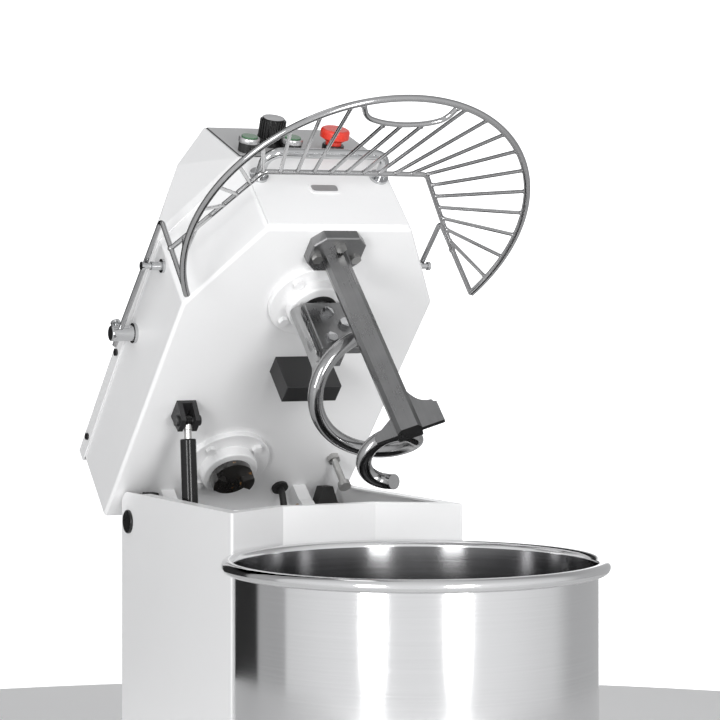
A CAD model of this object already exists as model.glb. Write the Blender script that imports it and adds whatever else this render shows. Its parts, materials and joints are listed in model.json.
import json
import math

import bmesh
import bpy
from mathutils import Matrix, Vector


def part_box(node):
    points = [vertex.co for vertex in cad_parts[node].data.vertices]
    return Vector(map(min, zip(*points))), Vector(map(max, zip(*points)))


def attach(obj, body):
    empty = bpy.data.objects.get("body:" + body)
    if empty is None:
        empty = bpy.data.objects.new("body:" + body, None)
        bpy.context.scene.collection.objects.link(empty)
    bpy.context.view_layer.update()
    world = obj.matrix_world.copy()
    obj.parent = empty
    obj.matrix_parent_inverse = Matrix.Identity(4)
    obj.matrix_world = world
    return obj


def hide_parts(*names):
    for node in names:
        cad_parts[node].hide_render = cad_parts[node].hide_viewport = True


MM = 0.001

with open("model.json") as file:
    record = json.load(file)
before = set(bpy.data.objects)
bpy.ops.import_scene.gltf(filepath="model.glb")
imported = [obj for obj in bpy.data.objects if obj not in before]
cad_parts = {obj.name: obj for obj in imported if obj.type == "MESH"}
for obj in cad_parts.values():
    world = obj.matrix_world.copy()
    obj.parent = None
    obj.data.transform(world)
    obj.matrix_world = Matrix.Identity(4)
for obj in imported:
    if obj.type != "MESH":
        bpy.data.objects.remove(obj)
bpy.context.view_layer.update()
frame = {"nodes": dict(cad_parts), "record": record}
record = frame["record"]
nodes = frame["nodes"]
joints = {joint["name"]: joint for joint in record["behaviour"]["joints"]}

# ------------------------------------------------------------------ directions of the raised head
# U points forward along the head, V away from its underside, N out of the control panel
HINGE = Vector(joints["head_tilt"]["pos_m"])
BOWL = Vector(joints["platter_spin"]["pos_m"])
U = Vector(joints["rotor_spin"]["axis"])
V = Vector(joints["coupling_spin"]["axis"])
X = Vector((1, 0, 0))
N = Vector(joints["knob_turn"]["axis"])
PANEL_UP = N.cross(X).normalized()
if PANEL_UP.z < 0:
    PANEL_UP.negate()
HINGE_TO_PLATE = 42.0
HEAD_ORIGIN = HINGE + V * HINGE_TO_PLATE * MM


def head(x, forward, above):
    """A point of the raised head, from millimetres."""
    return HEAD_ORIGIN + (X * x + U * forward + V * above) * MM


HEAD_FRONT = 529.2
PANEL_FOOT = 135.0


def panel(x, up, off=0.0):
    """A point over the control panel, from millimetres."""
    return head(x, HEAD_FRONT, PANEL_FOOT) + (PANEL_UP * up + N * off) * MM


# ------------------------------------------------------------------ materials
FINE_SHARE = 0.35
SLOW_SHARE = 0.65
WEAR_EDGE = 0.08


def node(tree, kind, **inputs):
    """A new shader node with its named inputs set; an underscore stands for a space."""
    made = tree.nodes.new(kind)
    for key, value in inputs.items():
        made.inputs[key.replace("_", " ")].default_value = value
    return made


def colour_mix(tree, factor, high):
    """Mixes towards the colour high by a 0..1 factor; the colour at 0 is set or linked by the caller."""
    mix = tree.nodes.new("ShaderNodeMix")
    mix.data_type = "RGBA"
    mix.inputs[7].default_value = (*high, 1)
    tree.links.new(factor, mix.inputs[0])
    return mix


def surface(name, dark, light, rough, metallic=0.0, scale=40.0, stretch=(1, 1, 1), bump=0.05,
            bump_scale=None, depth=0.0003, coat=0.0, coat_rough=0.1, blotch=4.0, ior=1.5, wear=None,
            lean=0.0):
    """A painted, plastic or metal surface with fine grain, slow variation in tone and its own gloss.

    wear is (colour, noise scale, threshold) of patches laid over the rest; lean tilts the grain about x.
    """
    material = bpy.data.materials.new(name)
    material.use_nodes = True
    tree = material.node_tree
    shader = tree.nodes["Principled BSDF"]
    shader.inputs["Metallic"].default_value = metallic
    shader.inputs["IOR"].default_value = ior
    shader.inputs["Coat Weight"].default_value = coat
    shader.inputs["Coat Roughness"].default_value = coat_rough
    place = tree.nodes.new("ShaderNodeTexCoord")
    mapping = tree.nodes.new("ShaderNodeMapping")
    mapping.vector_type = "TEXTURE"
    mapping.inputs["Scale"].default_value = [1 / amount for amount in stretch]
    mapping.inputs["Rotation"].default_value = (math.radians(lean), 0, 0)
    tree.links.new(place.outputs["Object"], mapping.inputs["Vector"])
    fine = node(tree, "ShaderNodeTexNoise", Scale=scale, Detail=5.0, Roughness=0.6)
    slow = node(tree, "ShaderNodeTexNoise", Scale=blotch, Detail=3.0, Roughness=0.5)
    tree.links.new(mapping.outputs["Vector"], fine.inputs["Vector"])
    tree.links.new(place.outputs["Object"], slow.inputs["Vector"])
    blend = node(tree, "ShaderNodeMath")
    blend.operation = "MULTIPLY_ADD"
    blend.inputs[1].default_value = FINE_SHARE
    tree.links.new(fine.outputs["Fac"], blend.inputs[0])
    slow_part = node(tree, "ShaderNodeMath")
    slow_part.operation = "MULTIPLY"
    slow_part.inputs[1].default_value = SLOW_SHARE
    tree.links.new(slow.outputs["Fac"], slow_part.inputs[0])
    tree.links.new(slow_part.outputs[0], blend.inputs[2])
    tones = colour_mix(tree, blend.outputs[0], light)
    tones.inputs[6].default_value = (*dark, 1)
    colour = tones.outputs[2]
    if wear:
        wear_colour, wear_scale, threshold = wear
        patches = node(tree, "ShaderNodeTexNoise", Scale=wear_scale, Detail=4.0, Roughness=0.7)
        tree.links.new(place.outputs["Object"], patches.inputs["Vector"])
        edge = tree.nodes.new("ShaderNodeMapRange")
        edge.inputs["From Min"].default_value = threshold
        edge.inputs["From Max"].default_value = threshold + WEAR_EDGE
        tree.links.new(patches.outputs["Fac"], edge.inputs["Value"])
        over = colour_mix(tree, edge.outputs["Result"], wear_colour)
        tree.links.new(colour, over.inputs[6])
        colour = over.outputs[2]
    tree.links.new(colour, shader.inputs["Base Color"])
    gloss = tree.nodes.new("ShaderNodeMapRange")
    gloss.inputs["From Min"].default_value = 0.3
    gloss.inputs["From Max"].default_value = 0.7
    gloss.inputs["To Min"].default_value = rough[0]
    gloss.inputs["To Max"].default_value = rough[1]
    tree.links.new(blend.outputs[0], gloss.inputs["Value"])
    tree.links.new(gloss.outputs["Result"], shader.inputs["Roughness"])
    relief = node(tree, "ShaderNodeBump", Strength=bump, Distance=depth)
    grain = fine
    if bump_scale:
        grain = node(tree, "ShaderNodeTexNoise", Scale=bump_scale, Detail=2.0, Roughness=0.5)
        tree.links.new(mapping.outputs["Vector"], grain.inputs["Vector"])
    tree.links.new(grain.outputs["Fac"], relief.inputs["Height"])
    tree.links.new(relief.outputs["Normal"], shader.inputs["Normal"])
    return material


MATERIALS = {
    "white": surface(
        "white_powder_coat", (0.83, 0.83, 0.832), (0.88, 0.88, 0.882), rough=(0.30, 0.42),
        scale=260, bump=0.06, bump_scale=900, depth=0.0001, coat=0.2, coat_rough=0.2, blotch=3.0),
    "bowl": surface(
        "spun_bowl_steel", (0.66, 0.66, 0.665), (0.84, 0.84, 0.845), rough=(0.08, 0.16),
        metallic=1.0, scale=4.0, stretch=(1, 1, 120), bump=0.03, depth=0.0002, blotch=2.0),
    "bowl_inside": surface(
        "spun_bowl_steel_inside", (0.10, 0.10, 0.102), (0.34, 0.34, 0.345), rough=(0.10, 0.2),
        metallic=1.0, scale=3.0, stretch=(1, 1, 90), bump=0.03, depth=0.0002, blotch=6.0),
    "rod": surface(
        "polished_stainless_rod", (0.36, 0.36, 0.363), (0.54, 0.54, 0.543), rough=(0.07, 0.14),
        metallic=1.0, scale=40, bump=0.01, depth=0.0001, blotch=12),
    "cast": surface(
        "ground_stainless", (0.17, 0.17, 0.172), (0.34, 0.34, 0.342), rough=(0.24, 0.34),
        metallic=1.0, scale=420, stretch=(1, 1, 0.03), bump=0.004, depth=0.00005, blotch=24,
        lean=-45.5),
    "hook": surface(
        "polished_hook_bar", (0.26, 0.26, 0.262), (0.46, 0.46, 0.462), rough=(0.12, 0.22),
        metallic=1.0, scale=90, bump=0.02, depth=0.0001, blotch=18),
    "chrome": surface(
        "bright_chrome", (0.46, 0.465, 0.47), (0.64, 0.645, 0.65), rough=(0.04, 0.09),
        metallic=1.0, scale=60, bump=0.01, depth=0.0001, blotch=10),
    "satin": surface(
        "satin_silver_ring", (0.52, 0.52, 0.525), (0.68, 0.68, 0.685), rough=(0.28, 0.4),
        metallic=1.0, scale=350, bump=0.05, depth=0.0001, blotch=30),
    "zinc": surface(
        "zinc_plate", (0.36, 0.36, 0.355), (0.62, 0.615, 0.60), rough=(0.25, 0.42), metallic=1.0,
        scale=300, bump=0.08, depth=0.0002, blotch=40),
    "shaft": surface(
        "turned_shaft_steel", (0.35, 0.35, 0.36), (0.56, 0.56, 0.57), rough=(0.2, 0.32),
        metallic=1.0, scale=500, bump=0.05, depth=0.0001, blotch=30),
    "grease": surface(
        "greased_black_steel", (0.006, 0.006, 0.006), (0.03, 0.028, 0.026), rough=(0.12, 0.45),
        scale=70, bump=0.5, depth=0.0015, coat=0.8, coat_rough=0.08, blotch=30,
        wear=((0.34, 0.16, 0.03), 75, 0.63)),
    "black_paint": surface(
        "satin_black_paint", (0.012, 0.012, 0.012), (0.028, 0.028, 0.029), rough=(0.36, 0.5),
        scale=420, bump=0.15, depth=0.0002, blotch=20),
    "black_gloss": surface(
        "gloss_black_tube", (0.005, 0.005, 0.005), (0.010, 0.010, 0.010), rough=(0.10, 0.18),
        scale=200, bump=0.02, depth=0.0001, ior=1.36, blotch=20),
    "black_plastic": surface(
        "moulded_black_plastic", (0.008, 0.008, 0.008), (0.016, 0.016, 0.016), rough=(0.2, 0.32),
        scale=700, bump=0.12, depth=0.0001, blotch=25),
    "rubber": surface(
        "black_rubber", (0.010, 0.010, 0.010), (0.026, 0.026, 0.026), rough=(0.55, 0.75),
        scale=300, bump=0.25, depth=0.0003, blotch=15),
    "cable": surface(
        "black_cable_sheath", (0.008, 0.008, 0.008), (0.018, 0.018, 0.018), rough=(0.35, 0.5),
        scale=350, bump=0.1, depth=0.0002, blotch=18),
    "green": surface(
        "green_button_plastic", (0.045, 0.135, 0.062), (0.075, 0.20, 0.095), rough=(0.2, 0.3),
        scale=90, bump=0.02, depth=0.0001, coat=0.4, coat_rough=0.1, blotch=30),
    "red": surface(
        "red_stop_plastic", (0.70, 0.035, 0.018), (0.84, 0.055, 0.030), rough=(0.22, 0.34),
        scale=120, bump=0.02, depth=0.0001, coat=0.2, coat_rough=0.1, blotch=25),
    "grey": surface(
        "grey_panel_film", (0.44, 0.44, 0.442), (0.52, 0.52, 0.522), rough=(0.32, 0.45), scale=30,
        stretch=(0.2, 4, 4), bump=0.05, bump_scale=300, depth=0.0001, blotch=8),
    "panel_edge": surface(
        "panel_edge_gasket", (0.03, 0.03, 0.032), (0.06, 0.06, 0.062), rough=(0.4, 0.6), scale=300,
        bump=0.05, depth=0.0001, blotch=20),
    "mark": surface(
        "printed_marks", (0.70, 0.70, 0.70), (0.80, 0.80, 0.80), rough=(0.4, 0.5), scale=400,
        bump=0.05, depth=0.0001),
    "brass": surface(
        "bronze_bush", (0.42, 0.26, 0.09), (0.62, 0.42, 0.18), rough=(0.25, 0.4), metallic=1.0,
        scale=200, bump=0.05, depth=0.0001, blotch=20),
    "alu": surface(
        "cast_aluminium", (0.48, 0.49, 0.50), (0.66, 0.67, 0.68), rough=(0.4, 0.6), metallic=1.0,
        scale=500, bump=0.3, depth=0.0003, blotch=12),
    "chain": surface(
        "oiled_chain_steel", (0.05, 0.048, 0.045), (0.16, 0.15, 0.14), rough=(0.3, 0.5),
        metallic=1.0, scale=150, bump=0.2, depth=0.0004, blotch=30),
    "floor": surface(
        "pale_studio_floor", (0.86, 0.86, 0.86), (0.90, 0.90, 0.90), rough=(0.55, 0.65), scale=30,
        bump=0.02, depth=0.0002),
}

NODE_LOOKS = {
    "white": ["base_housing", "column_shell", "rear_cover", "head_casing", "head_lid", "hub_housings",
              "head_frame", "flange_bolts"],
    "rubber": ["rubber_feet", "rubber_buffers", "cable_grommet", "spiral_seal"],
    "cable": ["head_cable_lower", "head_cable_upper"],
    "black_plastic": ["cable_inlet", "hinge_pins", "electrical_box", "lid_screws", "speed_knob"],
    "black_paint": ["hinge_blocks", "bearing_bridge", "stop_block", "strut_clevis"],
    "black_gloss": ["strut_tube"],
    "shaft": ["base_bearings", "lower_drive_shaft", "hub_bearings", "upper_drive_shaft", "motor_rotor"],
    "chain": ["bowl_chain", "bowl_sprocket", "head_chain", "spiral_sprocket"],
    "zinc": ["rear_cover_screws", "closing_stop"],
    "rod": ["guard_hoop", "guard_frame", "guard_spokes"],
    "cast": ["spiral_shaft", "breaker_bar", "bowl_platter"],
    "chrome": ["hook_bolts", "strut_rod", "lift_handle", "guard_bosses", "pivot_studs", "rest_pegs"],
    "grease": ["upper_coupling_claw", "lower_coupling_claw"],
    "brass": ["hinge_bushes", "worm_wheel"],
    "alu": ["gearbox_case", "motor_body"],
    "green": ["start_button", "jog_button"],
    "red": ["emergency_stop"],
    "grey": ["control_panel"],
}


def dress(obj, look):
    """Puts one material on every slot of a piece."""
    if not obj.data.materials:
        obj.data.materials.append(MATERIALS[look])
    for slot in obj.material_slots:
        slot.material = MATERIALS[look]


for look, names in NODE_LOOKS.items():
    for name in names:
        dress(nodes[name], look)

# the bolts of the breaker bar are plain steel, the hub bolts behind them are painted over
BREAKER_BOLTS_FORWARD = 0.466
bolts = nodes["flange_bolts"]
bolts.data.materials.append(MATERIALS["zinc"])
for polygon in bolts.data.polygons:
    if (bolts.matrix_world @ polygon.center - HINGE).dot(U) > BREAKER_BOLTS_FORWARD:
        polygon.material_index = 1


# ------------------------------------------------------------------ piece builders
def place_piece(name, data, body, look):
    """Puts a mesh or curve in the scene with its material, riding on a body if one is named."""
    obj = bpy.data.objects.new(name, data)
    bpy.context.collection.objects.link(obj)
    dress(obj, look)
    if body:
        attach(obj, body)
    return obj


def mesh_piece(name, bm, body, look, angle, bevel=0.0):
    """Turns a bmesh into a smooth-shaded piece; edges sharper than angle stay sharp."""
    mesh = bpy.data.meshes.new(name)
    bm.to_mesh(mesh)
    bm.free()
    for polygon in mesh.polygons:
        polygon.use_smooth = True
    mesh.set_sharp_from_angle(angle=math.radians(angle))
    obj = place_piece(name, mesh, body, look)
    if bevel:
        rounding = obj.modifiers.new("edge_rounding", "BEVEL")
        rounding.width = bevel
        rounding.segments = 3
        rounding.limit_method = "ANGLE"
    return obj


def lathe(name, profile, origin, axis, body, look, count=96, angle=40.0):
    """A turned piece: profile is (radius, height) in millimetres round axis from origin."""
    axis = Vector(axis).normalized()
    side = axis.orthogonal().normalized()
    other = axis.cross(side)
    rows = []
    bm = bmesh.new()
    for radius, height in profile:
        centre = origin + axis * height * MM
        if radius == 0:
            rows.append([bm.verts.new(centre)])
            continue
        row = []
        for i in range(count):
            turn = 2 * math.pi * i / count
            away = side * math.cos(turn) + other * math.sin(turn)
            row.append(bm.verts.new(centre + away * radius * MM))
        rows.append(row)
    for low, high in zip(rows, rows[1:]):
        for i in range(count):
            j = (i + 1) % count
            ring = [low[i % len(low)], low[j % len(low)], high[j % len(high)], high[i % len(high)]]
            unique = list(dict.fromkeys(ring))
            if len(unique) > 2:
                bm.faces.new(unique)
    bmesh.ops.recalc_face_normals(bm, faces=bm.faces)
    return mesh_piece(name, bm, body, look, angle)


def slab(name, outline, thickness, origin, right, up, body, look, bevel=0.0006):
    """A flat plate with a rounded edge; outline is in millimetres along right and up."""
    right = Vector(right).normalized()
    up = Vector(up).normalized()
    out = right.cross(up)
    bm = bmesh.new()
    low = [bm.verts.new(origin + (right * a + up * b) * MM) for a, b in outline]
    high = [bm.verts.new(origin + (right * a + up * b + out * thickness) * MM) for a, b in outline]
    bm.faces.new(low[::-1])
    bm.faces.new(high)
    for i in range(len(outline)):
        j = (i + 1) % len(outline)
        bm.faces.new((low[i], low[j], high[j], high[i]))
    bmesh.ops.recalc_face_normals(bm, faces=bm.faces)
    return mesh_piece(name, bm, body, look, 30, bevel)


def arc(centre_x, centre_y, radius, start, stop, steps):
    """Points from the angle start to the angle stop, both included, in degrees."""
    turns = [math.radians(start + (stop - start) * i / steps) for i in range(steps + 1)]
    return [(centre_x + radius * math.cos(turn), centre_y + radius * math.sin(turn)) for turn in turns]


def rounded(width, height, radius):
    """A rounded rectangle's outline."""
    x = width / 2 - radius
    y = height / 2 - radius
    points = []
    for side_x, side_y, start in ((1, 1, 0), (-1, 1, 90), (-1, -1, 180), (1, -1, 270)):
        points += arc(side_x * x, side_y * y, radius, start, start + 90, 6)
    return points


def tube(name, points, radius, body, look, order=4, resolution=12):
    """A round bar along a smooth curve; radius in millimetres."""
    curve = bpy.data.curves.new(name, "CURVE")
    curve.dimensions = "3D"
    spline = curve.splines.new("NURBS")
    spline.points.add(len(points) - 1)
    for item, point in zip(spline.points, points):
        item.co = (*point, 1)
    spline.order_u = min(order, len(points))
    spline.use_endpoint_u = True
    spline.resolution_u = resolution
    curve.bevel_depth = radius * MM
    curve.bevel_resolution = 8
    curve.use_fill_caps = True
    return place_piece(name, curve, body, look)


def weld_beads(name, centres, radius, body, look):
    """Small uneven beads in one piece; centres are (point, size beside radius)."""
    bm = bmesh.new()
    for index, (centre, size) in enumerate(centres):
        made = bmesh.ops.create_icosphere(bm, subdivisions=2, radius=radius * MM)
        for vert in made["verts"]:
            across = math.sin(7 * vert.co.x / radius * 1000 + index)
            along = math.cos(5 * vert.co.y / radius * 1000)
            vert.co = vert.co * (1 + 0.12 * across * along) * size + centre
    return mesh_piece(name, bm, body, look, 80)


# ------------------------------------------------------------------ softened edges, widths in metres
EDGE_WIDTHS = {
    "head_lid": 0.0012,
    "head_casing": 0.0005,
    "stop_block": 0.0005,
    "strut_clevis": 0.0008,
    "rubber_buffers": 0.0008,
    "spiral_shaft": 0.0008,
    "hub_housings": 0.0006,
    "flange_bolts": 0.0004,
    "hook_bolts": 0.0004,
    "control_panel": 0.0006,
    "closing_stop": 0.0006,
    "upper_coupling_claw": 0.001,
    "lower_coupling_claw": 0.001,
}
for name, width in EDGE_WIDTHS.items():
    target = nodes[name]
    weld = target.modifiers.new("join_edges", "WELD")
    weld.merge_threshold = 0.00001
    rounding = target.modifiers.new("edge_rounding", "BEVEL")
    rounding.width = width
    rounding.segments = 2
    rounding.limit_method = "ANGLE"
    rounding.angle_limit = math.radians(28)
    rounding.harden_normals = True

# ------------------------------------------------------------------ bowl
BOWL_RADIUS = 225.0
BOWL_DEPTH = 290.0
BOWL_WALL = 1.5
RIM_BEAD = 8.25
FLOOR_CORNER = 45.0
FOOT_INNER = 96.0
FOOT_OUTER = 100.0

bowl_low, bowl_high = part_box("bowl")
bead_z = bowl_high[2] * 1000 - RIM_BEAD
floor_z = bowl_high[2] * 1000 - BOWL_DEPTH
foot_z = bowl_low[2] * 1000
bowl_axis = Vector((BOWL.x, BOWL.y, 0))


def bowl_profile():
    """Up the outside from the middle of the floor, round the rolled rim and down the inside."""
    corner_radius = BOWL_RADIUS - FLOOR_CORNER
    corner_z = floor_z + FLOOR_CORNER
    outline = [(0, floor_z - BOWL_WALL)]
    outline += arc(corner_radius, corner_z, FLOOR_CORNER + BOWL_WALL, -90, 0, 12)
    outline.append((BOWL_RADIUS + BOWL_WALL, bead_z - RIM_BEAD * 0.9))
    outline += arc(BOWL_RADIUS + RIM_BEAD, bead_z, RIM_BEAD, 235, 540, 20)[:-1]
    outline.append((BOWL_RADIUS, bead_z))
    outline += arc(corner_radius, corner_z, FLOOR_CORNER, 0, -90, 12)
    outline.append((0, floor_z))
    return outline


bowl_piece = lathe("bowl_shell", bowl_profile(), bowl_axis, (0, 0, 1), "bowl", "bowl", count=256,
                   angle=60)
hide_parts("bowl")
bowl_piece.data.materials.append(MATERIALS["bowl_inside"])
for polygon in bowl_piece.data.polygons:
    spot = polygon.center
    outward = Vector((spot.x - BOWL.x, spot.y - BOWL.y, 0)).normalized()
    faces_inside = polygon.normal.z - polygon.normal.dot(outward) > 0.5
    if faces_inside and (floor_z - 0.5) * MM < spot.z < (bead_z - 1) * MM:
        polygon.material_index = 1
foot_ring = [(FOOT_INNER, foot_z), (FOOT_OUTER, foot_z), (FOOT_OUTER, floor_z - BOWL_WALL),
             (FOOT_INNER, floor_z - BOWL_WALL), (FOOT_INNER, foot_z)]
lathe("bowl_foot", foot_ring, bowl_axis, (0, 0, 1), "bowl", "cast", count=128)

# ------------------------------------------------------------------ spiral hook
SPIRAL_FORWARD = 400.0
HOOK_RADIUS = 52.7
HOOK_PITCH = 186.0
HOOK_START = 95.0
HOOK_SINK = 57.0
BAR_RADIUS = 10
ROD_OFFSET = 34
ROD_TOP = 30.5


def hook_point(turn):
    """A point of the bar's centre line; after one turn it winds in towards the axis and sinks."""
    lead_in = min(1.0, turn / 0.25)
    tail = max(0.0, turn - 1.0)
    radius = HOOK_RADIUS - 8 * (1 - lead_in) - 47 * tail / math.sqrt(tail + 0.12)
    drop = HOOK_START + HOOK_PITCH * min(turn, 1.0) + HOOK_SINK * tail ** 1.54
    angle = 2 * math.pi * (turn + 0.08)
    return head(radius * math.cos(angle), SPIRAL_FORWARD + radius * math.sin(angle), -drop)


def rod_point(x, drop):
    """A point of one of the two straight rods under the shaft."""
    return head(x, SPIRAL_FORWARD + 5, -drop)


bar_route = [rod_point(ROD_OFFSET, drop) for drop in (ROD_TOP, 60, 80)]
bar_route += [hook_point(0.11 + 1.71 * i / 44) for i in range(45)]
hook = tube("spiral_bar", bar_route, BAR_RADIUS, "spiral", "hook", order=3, resolution=6)
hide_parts("spiral_hook")
leg_route = [rod_point(-ROD_OFFSET, ROD_TOP), rod_point(-ROD_OFFSET, 90), rod_point(-34.5, 126),
             hook_point(0.355), hook_point(0.40)]
tube("spiral_leg", leg_route, BAR_RADIUS, "spiral", "hook", order=3)
slab("spiral_plate", [(-30, -114), (30, -114), (30, -30), (-30, -30)], 12,
     head(0, SPIRAL_FORWARD + 9, 0), X, V, "spiral", "cast", bevel=0.0015)

# ------------------------------------------------------------------ controls
BUTTONS = {"start_button": -84.0, "jog_button": -21.0}
BUTTON_UP = 21.0
STOP_X = 41.0
STOP_UP = 22.0
KNOB_X = -37.0
KNOB_UP = 56.0
MARK_CIRCLE = 27.5
PANEL_FACE = 2.1

for name, x in BUTTONS.items():
    barrel_profile = [(0, PANEL_FACE), (13.5, PANEL_FACE), (13.5, 14.5), (12.5, 15), (0, 15)]
    barrel = lathe(name + "_barrel", barrel_profile, panel(x, BUTTON_UP), N, "head", "black_plastic")
    if name == "start_button":
        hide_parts("control_barrels")
    bezel_profile = [(11.1, 14.6), (13.9, 14.6), (14.5, 15.4), (14.5, 20.4), (13.9, 21.6), (12.6, 22.0),
                     (11.1, 21.4), (11.1, 14.6)]
    lathe(name + "_bezel", bezel_profile, panel(x, BUTTON_UP), N, "head", "satin")
collar_profile = [(0, PANEL_FACE), (15, PANEL_FACE), (15, 12.6), (14, 14), (11.3, 14), (11.3, 8)]
lathe("stop_collar", collar_profile, panel(STOP_X, STOP_UP), N, "head", "black_plastic")
cap_profile = [(0, 38.3), (14.6, 38.3), (15.2, 38.9), (14.6, 39.4), (13.2, 39.1), (0, 39.1)]
lathe("knob_cap_disc", cap_profile, panel(KNOB_X, KNOB_UP), N, "knob", "satin")
slab("knob_pointer", rounded(1.6, 20, 0.7), 0.8, panel(KNOB_X, KNOB_UP, 16), X, N, "knob", "mark",
     bevel=0.0002)
for i in range(11):
    turn = math.radians(-140 + 28 * i)
    spot = panel(KNOB_X + MARK_CIRCLE * math.sin(turn), KNOB_UP + MARK_CIRCLE * math.cos(turn),
                 PANEL_FACE)
    mark_radius = 1.0 + 0.07 * i
    lathe(f"speed_mark_{i}", [(0, 0), (mark_radius, 0), (mark_radius, 0.25), (0, 0.3)], spot, N, "head",
          "mark", count=20)

# ------------------------------------------------------------------ blank plate and panel edge
slab("front_badge", rounded(38, 12, 4), 0.7, head(0, HEAD_FRONT + 1.2, 75), X, V, "head", "satin",
     bevel=0.0003)
slab("panel_edge", rounded(206, 124.6, 2.0), 1.1, panel(0, 64.7, 0.1), X, PANEL_UP, "head", "panel_edge",
     bevel=0.0002)

# ------------------------------------------------------------------ strut details
strut_axis = Vector(joints["strut_stroke"]["axis"])
strut_top = Vector(joints["strut_swing"]["pos_m"])
stud_profile = [(0, -4.5), (6.2, -4.5), (6.2, -12), (5.1, -12.6), (5.1, -25.2), (0, -25.2)]
lathe("strut_eye_stud", stud_profile, strut_top, strut_axis, "strut_cylinder", "zinc")
end_cap_profile = [(11.2, -209), (11.25, -215.2), (9, -215.8), (5.3, -215.8), (5.3, -209)]
lathe("strut_end_cap", end_cap_profile, strut_top, strut_axis, "strut_cylinder", "zinc")

# ------------------------------------------------------------------ guard welds
FRAME_FORWARD = 590.0
FRAME_ABOVE = 40.0
FRAME_CORNER = 118.0
FRAME_END = (207.0, 452.0)
SPOKE_STEP = 23.4
HOOP_RADIUS = 234.0
GRIP_RADIUS = 191.0
ring_centre = head(0, 557, -41)


def ring_point(angle, radius):
    turn = math.radians(angle)
    return ring_centre + (X * math.sin(turn) + U * math.cos(turn)) * radius * MM


def spoke_ends(step):
    """Where one spoke meets the frame and the hoop; the middle three end on the hand grip's dip."""
    side = 1 if step >= 0 else -1
    count = abs(step)
    if count < 5:
        inner = head(step * SPOKE_STEP, FRAME_FORWARD, FRAME_ABOVE)
    else:
        share = (count - 5) / 7.0
        inner = head(side * (FRAME_CORNER + 89 * share), FRAME_FORWARD - 138 * share, FRAME_ABOVE)
    outer = ring_point(step * 8.0, GRIP_RADIUS) if count <= 1 else ring_point(step * 10.0, HOOP_RADIUS)
    return inner, outer


weld_points = []
for step in range(-11, 12):
    inner, outer = spoke_ends(step)
    away = (outer - inner).normalized()
    weld_points.append((inner + away * 0.0036, 1.0))
    weld_points.append((outer - away * 0.0042, 1.0))
for side in (-1, 1):
    weld_points.append((ring_point(side * 16.6, 229), 1.3))
    weld_points.append((head(side * FRAME_END[0], FRAME_END[1], FRAME_ABOVE), 1.4))
weld_beads("guard_welds", weld_points, 3.3, "guard", "rod")

# ------------------------------------------------------------------ floor, light, camera
HEADING = math.radians(25.71)
TO_CAMERA = Vector((-math.sin(HEADING), -math.cos(HEADING), 0))
CAMERA_RIGHT = Vector((math.cos(HEADING), -math.sin(HEADING), 0))
floor_profile = [(0, 0), (900, 0), (1900, 0), (2000, -4), (2000, -20), (0, -20)]
floor = lathe("studio_floor", floor_profile, Vector((0, 0, 0)), (0, 0, 1), None, "floor", count=128)


def bearing(tree, source, direction):
    """How far a direction of the world points along another, from -1 to 1."""
    made = tree.nodes.new("ShaderNodeVectorMath")
    made.operation = "DOT_PRODUCT"
    made.inputs[1].default_value = direction
    tree.links.new(source, made.inputs[0])
    return made.outputs["Value"]


def rise(tree, value, low, high):
    """Goes smoothly from 0 at low to 1 at high; high may be the smaller one."""
    made = tree.nodes.new("ShaderNodeMapRange")
    made.interpolation_type = "SMOOTHSTEP"
    made.inputs["From Min"].default_value = min(low, high)
    made.inputs["From Max"].default_value = max(low, high)
    made.inputs["To Min"].default_value = 0.0 if low < high else 1.0
    made.inputs["To Max"].default_value = 1.0 if low < high else 0.0
    tree.links.new(value, made.inputs["Value"])
    return made.outputs["Result"]


def product(tree, *factors):
    """The product of any number of sockets."""
    result = factors[0]
    for factor in factors[1:]:
        made = tree.nodes.new("ShaderNodeMath")
        made.operation = "MULTIPLY"
        tree.links.new(result, made.inputs[0])
        tree.links.new(factor, made.inputs[1])
        result = made.outputs[0]
    return result


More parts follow.
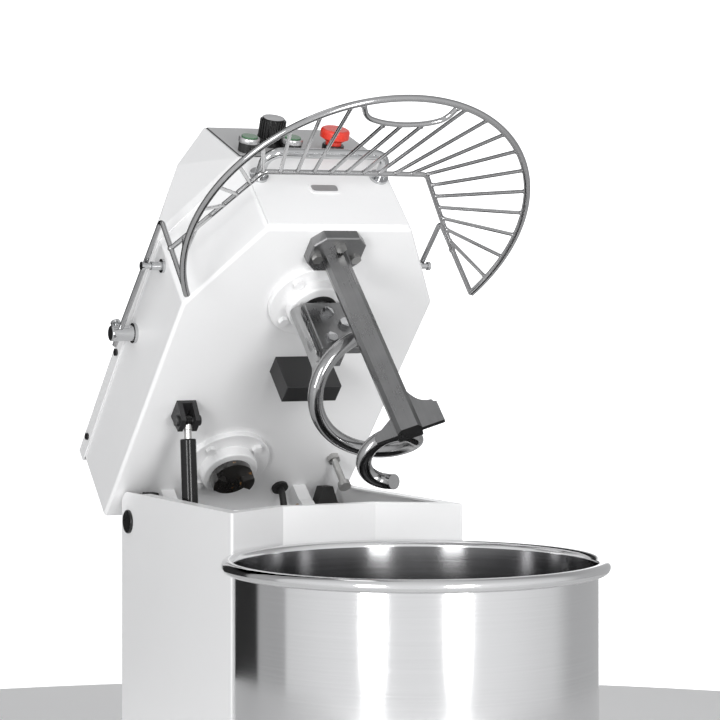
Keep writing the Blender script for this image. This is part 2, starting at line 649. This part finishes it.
# the studio round the object: a base level, with lighter and darker patches by direction
BASE_LEVEL = 0.73
world = bpy.data.worlds.new("studio")
bpy.context.scene.world = world
world.use_nodes = True
tree = world.node_tree
place = tree.nodes.new("ShaderNodeTexCoord").outputs["Generated"]
front = bearing(tree, place, TO_CAMERA)
right = bearing(tree, place, CAMERA_RIGHT)
height = bearing(tree, place, (0, 0, 1))
patches = [
    (0.20, rise(tree, front, -0.2, 0.8)),
    (-0.30, product(tree, rise(tree, right, 0.0, -0.15), rise(tree, front, 0.04, -0.02))),
    (-0.40, product(tree, rise(tree, right, -0.1, -0.25), rise(tree, front, -0.42, -0.5))),
    (-0.25, product(tree, rise(tree, right, 0.1, 0.3), rise(tree, front, 0.0, -0.4))),
    (-0.12, rise(tree, height, 0.2, 0.8)),
    (0.90, rise(tree, front, -0.955, -0.972)),
]
level = None
for amount, mask in patches:
    made = tree.nodes.new("ShaderNodeMath")
    made.operation = "MULTIPLY_ADD"
    made.inputs[1].default_value = amount
    made.inputs[2].default_value = BASE_LEVEL
    tree.links.new(mask, made.inputs[0])
    if level:
        tree.links.new(level, made.inputs[2])
    level = made.outputs[0]
tree.nodes["Background"].inputs["Color"].default_value = (0.985, 0.99, 1.0, 1)
tree.links.new(level, tree.nodes["Background"].inputs["Strength"])


AIM = Vector((0, 0, 0.6))


def softbox(name, place, size, power):
    """A rectangular lamp turned to the middle of the object; the camera doesn't see it."""
    data = bpy.data.lights.new(name, "AREA")
    data.shape = "RECTANGLE"
    data.size, data.size_y = size
    data.energy = power
    lamp = bpy.data.objects.new(name, data)
    lamp.visible_camera = False
    bpy.context.collection.objects.link(lamp)
    lamp.location = place
    lamp.rotation_euler = (AIM - Vector(place)).to_track_quat("-Z", "Y").to_euler()


softbox("left_strip", (-2.4, -2.1, 0.66), (0.75, 1.5), 36)
softbox("right_strip", (-0.1, -3.3, 0.66), (0.7, 1.5), 46)
softbox("top_light", (-0.6, 0.4, 3.2), (1.2, 0.5), 2)

camera_data = bpy.data.cameras.new("camera")
camera = bpy.data.objects.new("camera", camera_data)
bpy.context.collection.objects.link(camera)
camera.location = (BOWL.x - 1.524, BOWL.y - 3.0055, 0.8367)
camera.rotation_euler = (math.radians(90), 0, -HEADING)
camera_data.lens = 135.84
camera_data.sensor_width = 36.0
camera_data.shift_y = -0.124
camera_data.clip_end = 50
bpy.context.scene.camera = camera
bpy.context.scene.view_settings.view_transform = "Standard"
